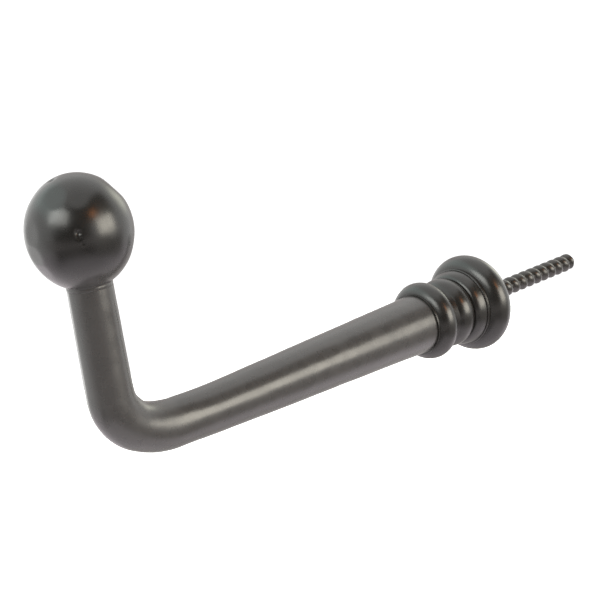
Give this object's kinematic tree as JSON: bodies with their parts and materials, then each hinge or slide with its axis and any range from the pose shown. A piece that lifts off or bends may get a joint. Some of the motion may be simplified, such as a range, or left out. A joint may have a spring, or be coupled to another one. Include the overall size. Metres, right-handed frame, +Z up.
{
  "type": "screw-in holdback hook",
  "caption": "Wall holdback hook: a turned base on a wood screw, a tapered round arm bent up at its end, and a ball tip.",
  "frame": {"origin": "centre of the base's wall face, on the arm's axis, where the screw enters the wall", "axes": "+Y into the wall along the wood screw, -Y out along the arm, +Z up the bent end towards the ball"},
  "size_m": [0.032, 0.2171, 0.0897],
  "materials": {
    "screw_steel": "blackened steel, dull, worn on the thread crests",
    "base_coating": "satin warm black coating",
    "collar_coating": "satin warm black coating",
    "arm_coating": "satin warm black coating",
    "stud_steel": "plain steel, hidden",
    "ball_coating": "satin warm black coating"
  },
  "bodies": {
    "wall_screw": {"hanger_bolt": "screw_steel"},
    "base": {"base_boss": "base_coating"},
    "hook": {"arm": "arm_coating", "collar_bead": "collar_coating", "ball_stud": "stud_steel", "ball_finial": "ball_coating"}
  },
  "joints": [
    {"name": "base_slide", "type": "slide", "parent": "wall_screw", "child": "base", "axis": [0, -1, 0], "range_m": [0, 0.0055]},
    {"name": "arm_turn", "type": "hinge", "parent": "base", "child": "hook", "pos_m": [0, 0, 0], "axis": [0, -1, 0], "range_deg": [0, 1980]}
  ],
  "couplings": [
    {"joint": "base_slide", "follows": "arm_turn", "m_per_rad": 0.00015915}
  ]
}
